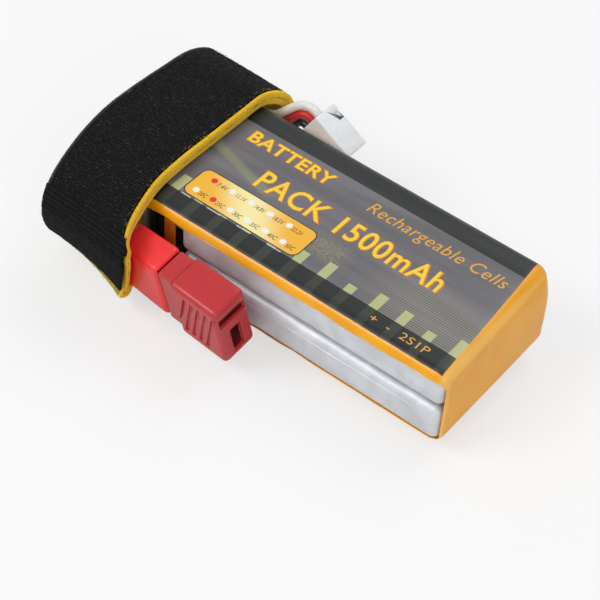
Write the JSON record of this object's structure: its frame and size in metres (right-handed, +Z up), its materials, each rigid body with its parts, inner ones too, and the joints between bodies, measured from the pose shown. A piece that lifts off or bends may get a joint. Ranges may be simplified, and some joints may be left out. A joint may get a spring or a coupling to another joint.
{
  "type": "lipo battery pack",
  "caption": "Soft-pouch lithium polymer pack in an open-sided printed sleeve, with a power plug, a balance plug and a hook-and-loop strap round its lead end.",
  "frame": {"origin": "centre of the pack's flat bottom face; the strap passes 3.2 mm under it at the lead end", "axes": "+X towards the plain end, -X towards the end with the leads and the strap, -Y towards the side with the power plug, +Z up through the printed top face"},
  "size_m": [0.0887, 0.0586, 0.0258],
  "materials": {
    "pouch_foil": "satin foil laminate",
    "printed_film": "glossy printed shrink film",
    "adhesive_pad": "matte",
    "amber_tape": "glossy translucent amber",
    "tab_metal": "brushed nickel",
    "board_laminate": "satin",
    "foam": "matte",
    "fibre_sheet": "matte",
    "solder": "satin",
    "red_silicone": "satin",
    "black_silicone": "satin",
    "white_silicone": "satin",
    "red_nylon": "satin",
    "red_cap": "satin",
    "gold_plate": "polished",
    "milky_nylon": "satin",
    "black_web": "matte woven and looped",
    "yellow_web": "matte woven"
  },
  "bodies": {
    "pack": {"printed_sleeve": "printed_film", "lower_cell": "pouch_foil", "upper_cell": "pouch_foil", "cell_adhesive_pad": "adhesive_pad", "tab_lower_positive": "tab_metal", "tab_lower_negative": "tab_metal", "tab_upper_positive": "tab_metal", "tab_upper_negative": "tab_metal", "tab_tape": "amber_tape", "terminal_board": "board_laminate", "foam_spacer": "foam", "solder_positive": "solder", "solder_negative": "solder", "end_insulator": "fibre_sheet", "t_plug_housing": "red_nylon", "contact_positive": "gold_plate", "contact_negative": "gold_plate", "t_plug_cap": "red_cap", "shrink_red": "red_silicone", "shrink_black": "black_silicone", "balance_housing": "milky_nylon", "balance_terminal_1": "gold_plate", "balance_terminal_2": "gold_plate", "balance_terminal_3": "gold_plate", "main_lead_red": "red_silicone", "main_lead_black": "black_silicone", "balance_lead_white": "white_silicone", "balance_lead_red": "red_silicone", "balance_lead_black": "black_silicone"},
    "strap": {"strap_band": "black_web", "strap_lining": "yellow_web", "strap_edge_front": "yellow_web", "strap_edge_rear": "yellow_web"},
    "flap": {"strap_flap": "black_web", "flap_lining": "yellow_web"}
  },
  "joints": [
    {"name": "strap_slide", "type": "slide", "parent": "pack", "child": "strap", "axis": [-1, 0, 0], "range_m": [0, 0.026]},
    {"name": "flap_peel", "type": "hinge", "parent": "strap", "child": "flap", "pos_m": [-0.0356, -0.0303, 0.0173], "axis": [-1, 0, 0], "range_deg": [0, 100]}
  ]
}
